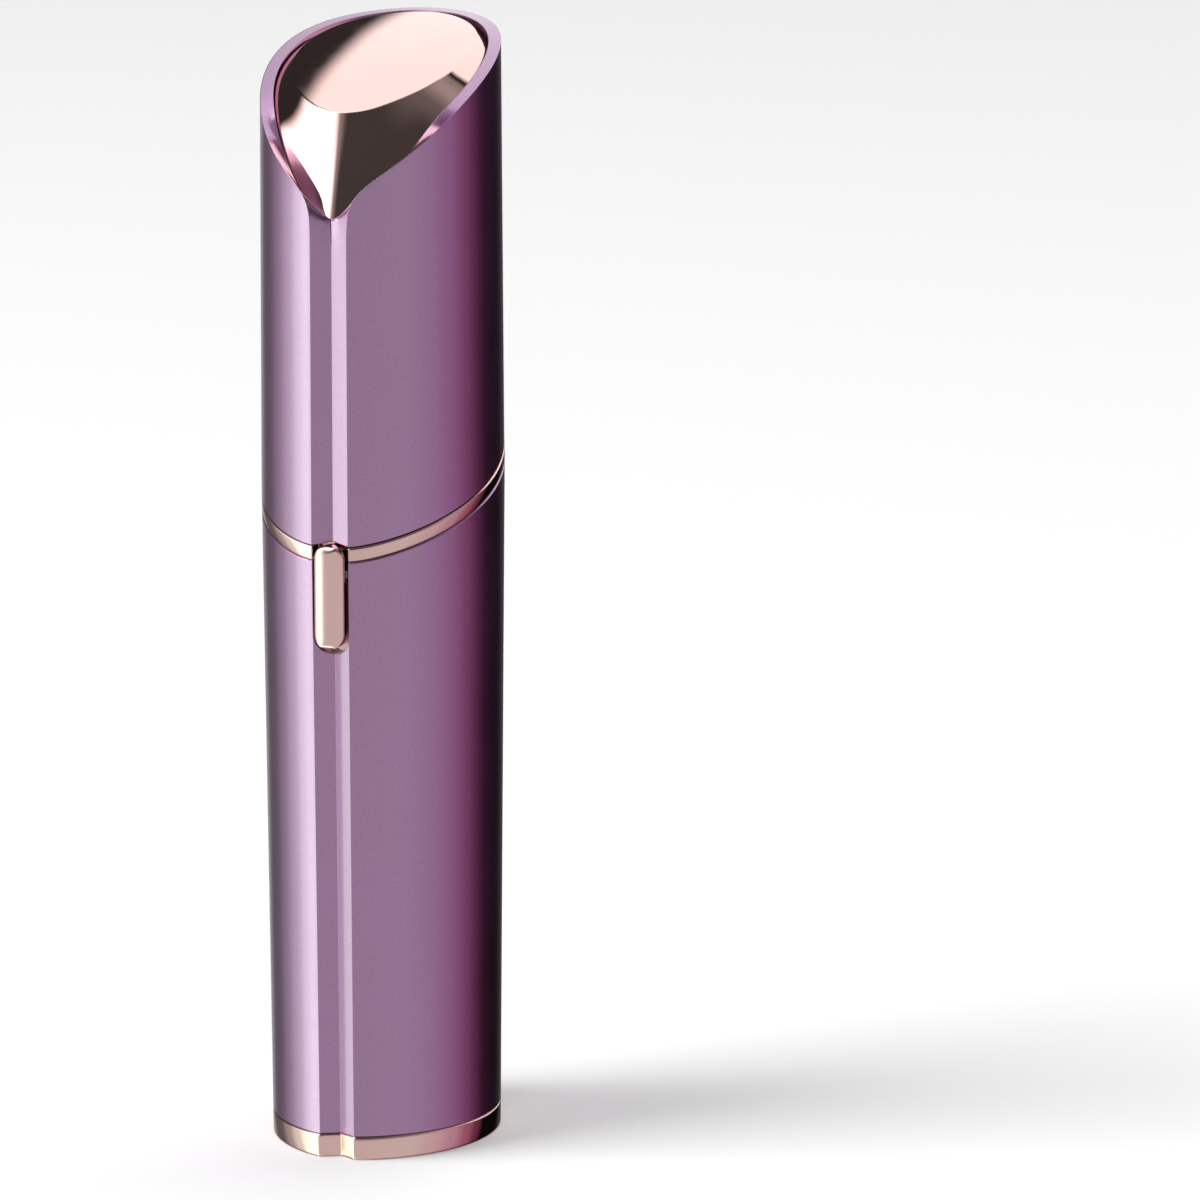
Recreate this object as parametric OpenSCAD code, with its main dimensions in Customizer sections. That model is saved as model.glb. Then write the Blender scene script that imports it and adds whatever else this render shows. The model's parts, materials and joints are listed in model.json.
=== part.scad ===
// Pocket rotary facial hair remover in a lipstick-style case with a pull-off cap.
// Front (the side with the groove and the switch) faces -Y, and the case stands on z = 0.
// All lengths are in millimetres.

/* [Case section] */
// Width of the almond-shaped case at the trim ring
case_w = 25; // [24.6:0.1:26]
// Depth of the case from the groove side to the back at the trim ring
case_d = 30.8; // [30.4:0.1:31.4]
// Radius of the rounded front and back noses
nose_r = 8.5; // [8.3:0.1:8.8]
// Width of the V-groove down the front
groove_w = 4; // [3.8:0.1:4.2]
// Depth of the V-groove below the front nose
groove_depth = 1.3; // [1.1:0.05:1.4]

/* [Case heights] */
// Size of the section at the base, as a share of its size at the trim ring
base_scale = 0.952; // [0.945:0.001:0.965]
// Size of the section at the top of the cap, as a share of its size at the trim ring
cap_scale = 0.98; // [0.975:0.001:0.99]
// Height of the slanted joint where it crosses the axis
joint_z = 69.9; // [69.5:0.1:70.3]
// Rise of the slanted joint from front to back, in mm per mm
joint_slope = 0.39; // [0.37:0.01:0.41]
// Height of the trim ring
ring_h = 1.5; // [1.2:0.1:1.6]
// Height of the mirror band round the base
band_h = 2.5; // [2.2:0.1:2.8]
// Overall height
case_h = 118.3; // [118.2:0.1:118.6]

/* [Switch] */
// Length of the slider button
button_l = 11; // [10.8:0.1:11.2]
// Width of the slider button
button_w = 3.3; // [3:0.1:3.4]
// Lowest point of the button when it is off
button_z = 54.8; // [54.6:0.1:54.9]
// Travel of the slider from off to on
slide_travel = 3.1; // [2.8:0.1:3.1]
// Bottom of the slot that the button runs in
slot_z = 54.1; // [53.9:0.1:54.2]

/* [Head] */
// Radius of the round head
head_r = 10.6; // [10.5:0.02:10.62]
// Height of the seam between the fixed tube and the twist-off head
seam_z = 93.9; // [93.7:0.1:94.1]
// Height of the head's shoulder
shoulder_z = 100.4; // [100.3:0.1:100.5]
// Radius of the foil
foil_r = 8.5; // [8.3:0.05:8.55]
// Height of the foil's top
foil_z = 103; // [102.9:0.05:103]
// Number of hair slits round the foil's rim
rim_slits = 60; // [30:6:60]

/* [Battery and motor] */
// Radius of the AA cell
cell_r = 7.25; // [7:0.05:7.25]
// Length of the AA cell with its terminal
cell_l = 50.5; // [49.5:0.1:50.5]
// Underside of the cell
cell_z = 7.5; // [7.4:0.1:7.5]
// Radius of the motor can
motor_r = 7.75; // [7.6:0.05:7.75]
// Length of the motor can
motor_l = 20; // [19.5:0.1:20]

/* [Hidden] */

lilac = [0.61, 0.46, 0.62];
rose_gold = [0.85, 0.63, 0.6];
steel = [0.75, 0.75, 0.77];
brass_tone = [0.8, 0.66, 0.35];
white_abs = [0.88, 0.87, 0.85];
black_abs = [0.12, 0.12, 0.13];

outline_fn = 96;       // segments of the arcs in the tapered shells
round_fn = 96;         // exact rounds, any value above 12
half_w = case_w / 2;
half_d = case_d / 2;
joint_angle = atan(joint_slope);
far = 60;              // size of cutting blocks, larger than the case
eps = 0.01;             // overlap of solids that join

// Walls, as insets of the case outline
lip_inset = 0.8;       // inside of the trim ring and of the case mouth
wall_inset = 1.3;      // inside of the case below the mouth
skirt_out = 0.95;      // outside of the cap's inner skirt
skirt_in = 1.5;        // inside of that skirt
collar_inset = 1.65;   // outside of the collar
keel_y = 13.15;        // inner face of the wall behind the groove, in the case mouth and the cap
keel_low_y = 12.2;     // the same below the mouth
keel_w = 5.2;          // width of that thicker wall
mouth_z = 52;          // where the wall steps from wall_inset to lip_inset

// Collar and switch
collar_bottom = 53;
collar_rise = 7.5;     // height of the collar's slanted top above the joint
facet_y = 12.9;        // flat front of the collar, which is also the floor of the slot
collar_bore = 10;
switch_wall = 1;       // collar wall in front of the switch pocket
stem_w = 1.8;
stem_h = 3;
stem_z = 58.4;
window_gap = 0.4;

// Motor's place, its shaft and its two terminals
motor_z = 64;
shaft_r = 1;
shaft_top = 92.4;
terminal_x = 3.6;
terminal_y = 2.2;

// Cap mouth: the rim follows a circular scoop seen from the side, and a V at the front
scoop_y = 20;
scoop_z = 72.6;
scoop_r = 46;
blend_w = 0.7;         // how softly the rim turns into the groove's edges
mouth_w = 10.9;        // half width of the opening
mouth_back = 13.8;     // half depth of the opening at the back
mouth_nose = 1.5;      // tight nose that makes the V
mouth_floor_z = 96.8;  // where the cap's wide cavity steps in to the opening
apex_z = 99.5;         // tip of the V
v_slope = 1.6;         // steepness of the V's edges seen from the side
rim_steps = 28;
edge_depth = half_d - 0.22;   // depth of the groove's edges where the rim starts

// Cap insert: a bullet with a chamfered, gently arched slanted face
insert_gap = 0.15;
face_r = 74;
face_y = 24.1;
face_z = 45;
chamfer_apex_z = 149.4;
chamfer_y = 2.27;
chamfer_slope = 0.339;
insert_bottom = 96;

// ---------- shared shapes ----------

// Radius of the long side arcs of an almond with half width w, half depth d and nose radius n
function side_radius(w, d, n) = (w * w + d * d - 2 * d * n) / (2 * (w - n));
// Depth at which the side arc meets the nose arc
function tangent_y(w, d, n) = (d - n) * (1 + n / (side_radius(w, d, n) - n));
// Half width of the almond at depth y
function almond_x(y, w, d, n) = abs(y) <= tangent_y(w, d, n)
    ? w - side_radius(w, d, n) + sqrt(pow(side_radius(w, d, n), 2) - y * y)
    : sqrt(max(0, n * n - pow(abs(y) - (d - n), 2)));

module almond(w, d, n, fn) {
    r = side_radius(w, d, n);
    t = tangent_y(w, d, n);
    intersection() {
        translate([w - r, 0]) circle(r, $fn = 2 * fn);
        translate([r - w, 0]) circle(r, $fn = 2 * fn);
        square([2 * w + 2, 2 * t], center = true);
    }
    for (side = [-1, 1])
        translate([0, side * (d - n)]) circle(n, $fn = fn);
}

// Case outline moved inwards by t
module case_outline(t = 0, fn = outline_fn)
    almond(half_w - t, half_d - t, nose_r - t, fn);

// Outer outline with the V-groove
module grooved_outline() {
    edge_y = half_d - nose_r + sqrt(pow(nose_r, 2) - pow(groove_w / 2, 2));
    rise = groove_depth - (half_d - edge_y);
    reach = 2;
    difference() {
        case_outline();
        polygon([
            [0, groove_depth - half_d],
            [groove_w / 2 * (1 + reach / rise), -edge_y - reach],
            [-groove_w / 2 * (1 + reach / rise), -edge_y - reach]]);
    }
}

// Section size at height z: the body widens upwards and the cap narrows again
function body_scale(z) = base_scale + (1 - base_scale) * z / joint_z;
function cap_size(z) = 1 + (cap_scale - 1) * (z - joint_z) / (case_h - joint_z);

// The child outline drawn from z0 to z1, sized to follow the body's or the cap's taper
module taper_body(z0, z1)
    translate([0, 0, z0])
        linear_extrude(z1 - z0, scale = body_scale(z1) / body_scale(z0)) scale(body_scale(z0)) children();

module taper_cap(z0, z1)
    translate([0, 0, z0])
        linear_extrude(z1 - z0, scale = cap_size(z1) / cap_size(z0)) scale(cap_size(z0)) children();

// Everything above the plane parallel to the joint that crosses the axis at height z
module above(z)
    translate([0, 0, z]) rotate([joint_angle, 0, 0]) translate([-far, -far, 0]) cube(2 * far);

module below(z)
    translate([0, 0, z]) rotate([joint_angle, 0, 0]) translate([-far, -far, -2 * far]) cube(2 * far);

// Block with its middle at x = 0, from y0 to y1 and z0 to z1
module block(w, y0, y1, z0, z1)
    translate([-w / 2, y0, z0]) cube([w, y1 - y0, z1 - z0]);

module tube(r_out, r_in, z0, z1)
    difference() {
        translate([0, 0, z0]) cylinder(h = z1 - z0, r = r_out, $fn = round_fn);
        translate([0, 0, z0 - 1]) cylinder(h = z1 - z0 + 2, r = r_in, $fn = round_fn);
    }

module disc(r, z0, z1)
    translate([0, 0, z0]) cylinder(h = z1 - z0, r = r, $fn = round_fn);

// The button's slot through the front wall, round at its lower end and open at the top
module button_slot() {
    block(groove_w, -half_d - 3, -facet_y + 1, slot_z + groove_w / 2, joint_z + 10);
    translate([0, -facet_y + 1, slot_z + groove_w / 2]) rotate([90, 0, 0])
        cylinder(h = half_d - facet_y + 4, r = groove_w / 2, $fn = round_fn);
}

// Straight stretch of wire between two points
module wire(a, b, r) {
    step = b - a;
    length = norm(step);
    translate(a) rotate([0, acos(step[2] / length), atan2(step[1], step[0])])
        cylinder(h = length, r = r, $fn = 24);
}

// Closed coil of round wire, radius growing from r0 at z0 to r1 at z1
module coil(r0, r1, z0, z1, turns, wire_r) {
    per_turn = 24;
    sides = 6;
    count = turns * per_turn;
    points = [for (i = [0 : count]) for (k = [0 : sides - 1])
        let (a = 360 * i / per_turn, r = r0 + (r1 - r0) * i / count, z = z0 + (z1 - z0) * i / count,
             b = 360 * k / sides)
        [(r + wire_r * cos(b)) * cos(a), (r + wire_r * cos(b)) * sin(a), z + wire_r * sin(b)]];
    skin = [for (i = [0 : count - 1]) for (k = [0 : sides - 1])
        let (n = (k + 1) % sides)
        [i * sides + n, (i + 1) * sides + n, (i + 1) * sides + k, i * sides + k]];
    ends = [[for (k = [sides - 1 : -1 : 0]) k], [for (k = [0 : sides - 1]) count * sides + k]];
    polyhedron(points, concat(skin, ends), convexity = 10);
}

// ---------- body shell and base ----------

module body_shell() color(lilac)
    difference() {
        taper_body(band_h, joint_z + 8) grooved_outline();
        difference() {
            union() {
                taper_body(band_h - 1, mouth_z + 3) case_outline(wall_inset);
                taper_body(mouth_z, joint_z + 9) case_outline(lip_inset);
            }
            block(keel_w, -half_d - 1, -keel_low_y, 0, mouth_z);
            block(keel_w, -half_d - 1, -keel_y, mouth_z, joint_z + 10);
        }
        above(joint_z);
        button_slot();
    }

module ring_trim() color(rose_gold)
    difference() {
        taper_body(joint_z - 8, joint_z + 10) grooved_outline();
        difference() {
            taper_body(joint_z - 9, joint_z + 11) case_outline(lip_inset);
            block(keel_w, -half_d - 1, -keel_y, joint_z - 12, joint_z + 12);
        }
        below(joint_z);
        above(joint_z + ring_h);
        button_slot();
    }

module base_band() color(rose_gold)
    difference() {
        taper_body(0, band_h) grooved_outline();
        difference() {
            taper_body(-1, band_h + 1) case_outline(wall_inset - 0.3);
            block(keel_w, -half_d - 1, -keel_low_y, -2, band_h + 2);
        }
    }

// Floor of the case with an upstand that snaps inside the shell
module base_plug() color(black_abs) {
    floor_top = 2.4;
    lip_top = 5.6;
    difference() {
        union() {
            taper_body(0, floor_top) case_outline(wall_inset - 0.25);
            taper_body(floor_top - eps, lip_top) case_outline(wall_inset + 0.05);
        }
        taper_body(floor_top, lip_top + 1) case_outline(wall_inset + 1);
        block(keel_w + 0.1, -half_d - 1, -keel_low_y + 0.05, -1, lip_top + 1);
    }
}

// ---------- chassis ----------

// Lens-section collar with a flat front facet; the head tube stands in it and the slider runs on it
module collar() color(rose_gold)
    difference() {
        translate([0, 0, collar_bottom]) linear_extrude(40) case_outline(collar_inset, round_fn);
        above(joint_z + collar_rise);
        block(2 * far, -half_d - 1, -facet_y, collar_bottom - 1, joint_z + 30);
        disc(collar_bore, collar_bottom - 1, joint_z + 30);
        // pocket for the switch, and the window for the slider's stem
        block(6.6, -facet_y + switch_wall, 0, collar_bottom - 1, 66.6);
        block(stem_w + 0.4, -facet_y - 1, 0, stem_z - window_gap, stem_z + stem_h + slide_travel + window_gap);
        // L-shaped alignment mark on the side
        translate([-half_w + collar_inset - 0.6, -3.4, 72]) cube([0.75, 2, 0.35]);
        translate([-half_w + collar_inset - 0.6, -3.4, 72]) cube([0.75, 0.35, 1.6]);
    }

// Fixed tube with a slanted foot on the collar, a spigot inside it and a bayonet neck on top
module head_tube() color(rose_gold) {
    spigot_r = 9.95;
    bore = 9;
    neck_r = 9.55;
    neck_top = seam_z + 3;
    lug_z = seam_z + 2;
    difference() {
        union() {
            difference() {
                disc(head_r, 60, seam_z);
                below(joint_z + collar_rise);
            }
            disc(spigot_r, 66.8, seam_z - 5);
            disc(neck_r, seam_z - 1, neck_top);
            for (a = [0 : 120 : 240])
                rotate(a) intersection() {
                    tube(neck_r + 0.3, neck_r - 0.4, lug_z, lug_z + 0.8);
                    rotate(-12) cube([20, 20, 200]);
                    rotate(-78 + 12) cube([20, 20, 200]);
                }
        }
        disc(bore, 60, 85.6);
        disc(bore - 0.7, 85, 87.5);
        disc(neck_r - 0.95, 87.4, neck_top + 1);
    }
}

// Cradle for the cell, open at the front, with a floor for the spring and a top plate
module battery_holder() color(white_abs) {
    holder_r = 8.6;
    holder_bottom = 3.3;
    plate_z = 58.6;
    difference() {
        union() {
            disc(holder_r, holder_bottom, plate_z);
            disc(collar_bore - 0.05, plate_z, plate_z + 1.4);
        }
        disc(cell_r + 0.25, holder_bottom + 1.2, plate_z - eps);
        // window that the cell goes in through
        block(2 * (cell_r + 0.2), -20, -2, cell_z + 1, cell_z + cell_l - 2.5);
        // clearance for the switch, and holes for the leads
        block(6.8, -20, -9, plate_z - 1, plate_z + 3);
        translate([terminal_x, terminal_y, 50]) cylinder(h = 20, r = 0.8, $fn = 32);
        // channels for the return strip and its foot
        block(4.4, holder_r - 0.1, 20, 0, 70);
        block(4.4, 5.7, 20, 4.8, 5.2);
    }
}

module battery_cell() color([0.25, 0.3, 0.36]) {
    nub_h = 1;
    disc(cell_r, cell_z, cell_z + cell_l - nub_h);
    disc(2.75, cell_z + cell_l - nub_h - eps, cell_z + cell_l);
}

// Negative contact: round plate and conical coil
module battery_spring() color(steel) {
    plate_z = 4.52;
    disc(6.4, plate_z, plate_z + 0.3);
    coil(5.4, 3.4, plate_z + 0.55, cell_z - 0.42, 2, 0.35);
}

module positive_contact() color(brass_tone) {
    z = cell_z + cell_l + 0.03;
    disc(5, z, z + 0.3);
    block(2.4, 4.6, 7.2, z, z + 0.3);
}

// Strip that carries the negative side up the back of the holder
module return_strip() color(brass_tone) {
    strip_y = 8.55;
    strip_t = 0.3;
    foot_z = 4.84;
    block(4, strip_y, strip_y + strip_t, foot_z, 61.2);
    block(4, 5.85, strip_y + strip_t, foot_z, foot_z + strip_t);
}

// Two short leads up to the motor's terminals
module motor_leads() color([0.7, 0.12, 0.1]) {
    lead_r = 0.5;
    run_z = 61;
    terminal_z = motor_z - 2.35;
    wire([terminal_x, terminal_y, cell_z + cell_l + 0.35], [terminal_x, terminal_y, terminal_z], lead_r);
    wire([0, 8.5, run_z], [-terminal_x, -terminal_y, run_z], lead_r);
    wire([-terminal_x, -terminal_y, run_z], [-terminal_x, -terminal_y, terminal_z], lead_r - 0.05);
}

// Slide switch behind the collar's front wall, with a channel for the slider's nib
module switch_body() color(black_abs)
    difference() {
        block(5.8, -10.9, -9.2, 55.6, 66);
        block(1.8, -11.5, -10.1, 56.4, 65.4);
    }

// ---------- motor ----------

module motor_can() color(steel)
    difference() {
        disc(motor_r, motor_z, motor_z + motor_l);
        disc(motor_r - 0.6, motor_z - 1, motor_z + motor_l - 0.8);
        disc(2.2, motor_z, motor_z + motor_l + 1);
    }

module motor_magnets() color([0.2, 0.2, 0.22])
    difference() {
        tube(motor_r - 0.62, 5.7, motor_z + 3, motor_z + motor_l - 4);
        block(3.4, -20, 20, motor_z, motor_z + motor_l);
    }

module motor_endcap() color(white_abs) {
    difference() {
        union() {
            disc(motor_r, motor_z - 1.6, motor_z);
            disc(motor_r - 0.65, motor_z - eps, motor_z + 0.8);
        }
        disc(1.25, motor_z - 3, motor_z + 3);
    }
    for (side = [-1, 1])
        translate([side * terminal_x - 0.7, side * terminal_y - 0.2, motor_z - 2.3]) cube([1.4, 0.4, 0.8]);
}

module motor_bush() color(brass_tone) {
    tube(2.2, 1.05, motor_z + motor_l - 1.6, motor_z + motor_l + 1.4);
}

// Plate that holds the motor in the head tube
module motor_mount() color(white_abs) {
    z = motor_z + motor_l;
    difference() {
        disc(8.95, z + 0.02, z + 1.5);
        disc(2.3, z - 1, z + 3);
        for (side = [-1, 1])
            translate([side * 5, 0, z - 1]) cylinder(h = 4, r = 0.95, $fn = 32);
        for (side = [-1, 1])
            translate([0, side * 6, z - 1]) cylinder(h = 4, r = 1.4, $fn = 32);
    }
}

module motor_screws() color(steel)
    for (side = [-1, 1])
        translate([side * 5, 0, 0]) {
            difference() {
                disc(1.6, motor_z + motor_l + 1.52, motor_z + motor_l + 2.4);
                block(0.4, -3, 3, motor_z + motor_l + 2.1, motor_z + motor_l + 3);
            }
            disc(0.8, motor_z + motor_l + 0.05, motor_z + motor_l + 1.53);
        }

// Shaft with a three-pole armature and the commutator
module motor_rotor() color([0.6, 0.38, 0.22]) {
    disc(shaft_r, motor_z - 2, shaft_top);
    disc(1.9, motor_z + 1.2, motor_z + 3);
    difference() {
        disc(5.3, motor_z + 3.6, motor_z + motor_l - 4.6);
        for (a = [0 : 120 : 240])
            rotate(a) translate([2.4, -0.9, motor_z]) cube([5, 1.8, motor_l]);
    }
}

// Drive dog pressed on the shaft, with a flange for the spring and a flat key on top
module drive_coupler() color(white_abs) {
    flange_z = 89;
    difference() {
        union() {
            disc(2.3, 87.6, 93.4);
            disc(4.4, flange_z, flange_z + 0.8);
            block(1.2, -1.9, 1.9, 93.3, 95.8);
        }
        disc(shaft_r, 80, shaft_top);
    }
}

// ---------- cutter ----------

cutter_z = 99.2;

// Spinning disc with a post that slips over the drive dog
module cutter_hub() color(black_abs)
    difference() {
        union() {
            disc(7.4, cutter_z, cutter_z + 1.2);
            disc(3.1, 91.4, cutter_z + 0.5);
        }
        disc(2.4, 91, 93.6);
        block(1.3, -2, 2, 93, 96.3);
    }

// Six leaning blades, cut off level where they stand on the disc
module cutter_blades() color(steel)
    difference() {
        for (a = [0 : 60 : 300])
            rotate(a) translate([2.2, 0, cutter_z + 1]) rotate([12, 0, 0]) translate([0, -0.2, 0])
                cube([5.2, 0.4, foil_z - 0.55 - cutter_z - 1]);
        disc(9, cutter_z, cutter_z + 1.2);
    }

module cutter_spring() color(steel)
    coil(3.75, 3.75, 90.2, cutter_z - 0.4, 4, 0.3);

// ---------- twist-off head ----------

module head_cover() color(rose_gold) {
    lip_r = 9.65;
    groove_r = 9.98;
    roof_z = 98.75;
    round_r = 0.7;
    difference() {
        union() {
            disc(head_r, seam_z + 0.08, shoulder_z - round_r);
            disc(head_r - round_r, seam_z + 0.08, shoulder_z);
            translate([0, 0, shoulder_z - round_r])
                rotate_extrude($fn = round_fn) translate([head_r - round_r, 0]) intersection() {
                    circle(round_r, $fn = 48);
                    square(2);
                }
        }
        disc(lip_r, seam_z - 1, roof_z);
        disc(groove_r, seam_z + 1.85, seam_z + 3);
        disc(foil_r + 0.05, roof_z - 1, shoulder_z + 1);
        // bayonet entries, a twist away from the lugs
        for (a = [0 : 120 : 240])
            rotate(a + 33) intersection() {
                tube(groove_r, lip_r - 0.5, seam_z - 1, seam_z + 2.5);
                rotate(-15) cube([20, 20, 200]);
                rotate(-78 + 15) cube([20, 20, 200]);
            }
    }
}

// Foil: flanged cup with slits over its rim, two rings of slanted slots and a ring recess in its top
module foil_disc() color(rose_gold) {
    top_t = 0.3;
    wall_t = 0.3;
    flange_z = 98.35;
    difference() {
        union() {
            disc(foil_r, flange_z, foil_z - 0.25);
            disc(foil_r - 0.25, foil_z - 0.3, foil_z);
            disc(foil_r + 0.9, flange_z, flange_z + 0.35);
        }
        disc(foil_r - wall_t, flange_z - 1, foil_z - top_t);
        // shallow ring recess round the middle
        tube(3.2, 1.9, foil_z - 0.12, foil_z + 1);
        // slits that wrap over the rim
        for (i = [0 : rim_slits - 1])
            rotate(360 * i / rim_slits) translate([foil_r - 1.9, -0.09, foil_z - 0.85]) cube([3, 0.18, 2]);
        // rings of slanted slots
        for (i = [0 : 35])
            rotate(10 * i) translate([5.25, 0, foil_z - 1]) rotate(-35) cube([0.95, 0.22, 2]);
        for (i = [0 : 23])
            rotate(15 * i) translate([3.85, 0, foil_z - 1]) rotate(-35) cube([0.8, 0.22, 2]);
    }
}

module foil_retainer() color(white_abs)
    tube(9.5, 8.3, 97.2, 98.3);

// ---------- slider ----------

// Domed bar. Its upper end has a V-shaped back that runs in front of the cap's groove.
module slider_button() color(rose_gold) {
    front_y = half_d + 0.75;
    back_y = facet_y + 0.35;
    edge_r = 0.9;
    split_z = 62;
    clear = 0.22;
    groove_slope = (groove_depth - 0.24) / (groove_w / 2);
    difference() {
        intersection() {
            // rounded bar seen from the front
            translate([0, 0, button_z]) union() {
                for (z = [button_w / 2, button_l - button_w / 2])
                    translate([0, -back_y, z]) rotate([90, 0, 0])
                        cylinder(h = front_y - back_y, r = button_w / 2, $fn = round_fn);
                block(button_w, -front_y, -back_y, button_w / 2, button_l - button_w / 2);
            }
            // domed front seen from above
            translate([0, -front_y + 2.6, button_z - 1]) union() {
                cylinder(h = button_l + 2, r = 2.6, $fn = round_fn);
                block(button_w + 1, 0, 5, 0, button_l + 2);
            }
            // rounded ends seen from the side
            union() {
                block(button_w + 1, -front_y, -back_y + 1, button_z + edge_r, button_z + button_l - edge_r);
                block(button_w + 1, -front_y + edge_r, -back_y + 1, button_z - 1, button_z + button_l + 1);
                for (z = [button_z + edge_r, button_z + button_l - edge_r])
                    translate([-3, -front_y + edge_r, z]) rotate([0, 90, 0])
                        cylinder(h = 6, r = edge_r, $fn = round_fn);
            }
        }
        // V-shaped relief behind the upper end
        translate([0, groove_depth - half_d - clear, split_z])
            linear_extrude(20) polygon([[0, 0], [4, -4 * groove_slope], [4, 6], [-4, 6], [-4, -4 * groove_slope]]);
    }
}

module slider_carrier() color(white_abs) {
    block(stem_w, -facet_y - 0.33, -11.4, stem_z, stem_z + stem_h);
    block(4.8, -11.65, -11.15, stem_z - 1, stem_z + stem_h + 1);
    block(1.2, -11.2, -10.4, stem_z + 0.6, stem_z + stem_h - 0.6);
}

// ---------- cap ----------

// Rim seen from the side: the scoop's depth and height at angle a on its circle
function scoop_depth(a) = scoop_y - scoop_r * cos(a);
function scoop_height(a) = scoop_z + scoop_r * sin(a);
function scoop_over(y) = scoop_z + sqrt(scoop_r * scoop_r - pow(y - scoop_y, 2));
// A smooth maximum of 0 and t
function soft_ramp(t) = blend_w * ln(1 + exp(t / blend_w));

// The first step is a long one, down along the groove's edge
rim_foot = 24;
rim_a0 = 33;
rim_a1 = acos((scoop_y - half_d * cap_scale + 0.02) / scoop_r);
function rim_angle(i) = i == 0 ? rim_foot : rim_a0 + (rim_a1 - rim_a0) * (i - 1) / (rim_steps - 1);

// Outer crease of the rim, on the right-hand side, from the groove to the back
function crease_y(i) = -edge_depth + soft_ramp(scoop_depth(rim_angle(i)) + edge_depth);
function crease_point(i) = let (z = scoop_height(rim_angle(i)), k = cap_size(z), y = crease_y(i))
    [k * almond_x(y / k, half_w, half_d, nose_r), y, z];

// Inner edge of the rim, on the wall of the opening
mouth_front = half_d - groove_depth;
function mouth_y(i) = -mouth_front + (crease_y(i) + edge_depth) * (mouth_front + mouth_back)
    / (crease_y(rim_steps) + edge_depth);
function mouth_x(y, t = 0) = y < 0
    ? almond_x(y, mouth_w - t, mouth_front - t, mouth_nose)
    : almond_x(y, mouth_w - t, mouth_back - t, nose_r - skirt_in);
function mouth_z_at(y) = let (a = scoop_over(y), b = apex_z + v_slope * (y + mouth_front))
    b - soft_ramp(b - a);
function inner_point(i) = let (y = mouth_y(i)) [max(0.06, mouth_x(y)), y, mouth_z_at(y)];

// Outline of the opening, pointed at the front, moved inwards by t
module mouth_outline(t = 0) {
    steps = 48;
    right = [for (i = [0 : steps])
        let (y = -(mouth_front - t) + (mouth_front + mouth_back - 2 * t) * (1 - cos(180 * i / steps)) / 2)
        [mouth_x(y, t), y]];
    left = [for (i = [steps - 1 : -1 : 1]) [-right[i][0], right[i][1]]];
    polygon(concat(right, left));
}

// Wedges that together remove everything above the sloping rim band.
// Their tops lean a little over their neighbours, so nothing is left standing between them.
module rim_cutter() {
    reach = 4;
    tuck = 0.1;
    lean = 0.05;
    top = case_h + 10;
    // the band's line carried on a little into the opening
    function tucked(i) = inner_point(i) + tuck * (inner_point(i) - crease_point(i));
    function outward(a, b) = [b[0] - a[0], b[1] - a[1], 0] / max(norm([b[0] - a[0], b[1] - a[1]]), 0.1);
    function flare(i) = crease_point(i) + reach * outward(inner_point(i), crease_point(i));
    function lifted(p, away) = let (q = p + lean * (p - away)) [q[0], q[1], top];
    function station(i, j) = [tucked(i), crease_point(i), flare(i),
        lifted(tucked(i), tucked(j)), lifted(flare(i), flare(j))];
    function mirrored(points) = [for (p = points) [-p[0], p[1], p[2]]];
    module wedge(a, b)
        hull() polyhedron(concat(a, b), [[for (k = [0 : 9]) k]]);
    for (i = [0 : rim_steps - 1]) {
        wedge(station(i, i + 1), station(i + 1, i));
        wedge(mirrored(station(i, i + 1)), mirrored(station(i + 1, i)));
    }
    for (i = [0, rim_steps])
        wedge(station(i, i), mirrored(station(i, i)));
}

cap_bottom = joint_z + ring_h + 0.08;

module cap_shell() color(lilac)
    difference() {
        taper_cap(joint_z - 10, case_h) grooved_outline();
        below(cap_bottom);
        difference() {
            translate([0, 0, joint_z - 11]) linear_extrude(mouth_floor_z - joint_z + 11) case_outline(skirt_out - 0.03);
            block(keel_w, -half_d - 1, -keel_y, joint_z - 12, case_h);
        }
        translate([0, 0, mouth_floor_z - 1]) linear_extrude(30) mouth_outline();
        rim_cutter();
    }

// Thin inner sleeve: its skirt drops between the trim ring and the collar
module cap_liner() color(rose_gold)
    difference() {
        translate([0, 0, joint_z - 15]) linear_extrude(mouth_floor_z - 0.4 - joint_z + 15)
            case_outline(skirt_out, round_fn);
        translate([0, 0, joint_z - 16]) linear_extrude(case_h) case_outline(skirt_in, round_fn);
        below(cap_bottom - 5);
        block(keel_w + 0.6, -half_d - 1, -5, joint_z - 16, case_h);
    }

// Bullet in the cap's mouth
module cap_insert() color(rose_gold) {
    chamfer_top = case_h + 4;
    chamfer_d = (chamfer_apex_z - insert_bottom) * chamfer_slope;
    chamfer_k = chamfer_d / half_d;
    face_t = 1.5;
    difference() {
        intersection() {
            translate([0, 0, insert_bottom]) linear_extrude(30) mouth_outline(insert_gap);
            translate([0, chamfer_y, insert_bottom])
                linear_extrude(chamfer_top - insert_bottom,
                    scale = (chamfer_apex_z - chamfer_top) / (chamfer_apex_z - insert_bottom))
                    scale(chamfer_k) case_outline();
            translate([-far / 2, face_y, face_z]) rotate([0, 90, 0]) cylinder(h = far, r = face_r, $fn = 720);
        }
        // room for the head's shoulder and for the foil
        disc(head_r + 0.35, insert_bottom - 1, shoulder_z + 0.6);
        disc(foil_r + 0.5, insert_bottom - 1, foil_z + 0.7);
        // hollow behind the face
        intersection() {
            translate([0, chamfer_y, foil_z])
                linear_extrude(20, scale = 0.6) case_outline(half_w - 8);
            translate([-far / 2, face_y, face_z]) rotate([0, 90, 0])
                cylinder(h = far, r = face_r - face_t, $fn = 720);
        }
    }
}

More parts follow.
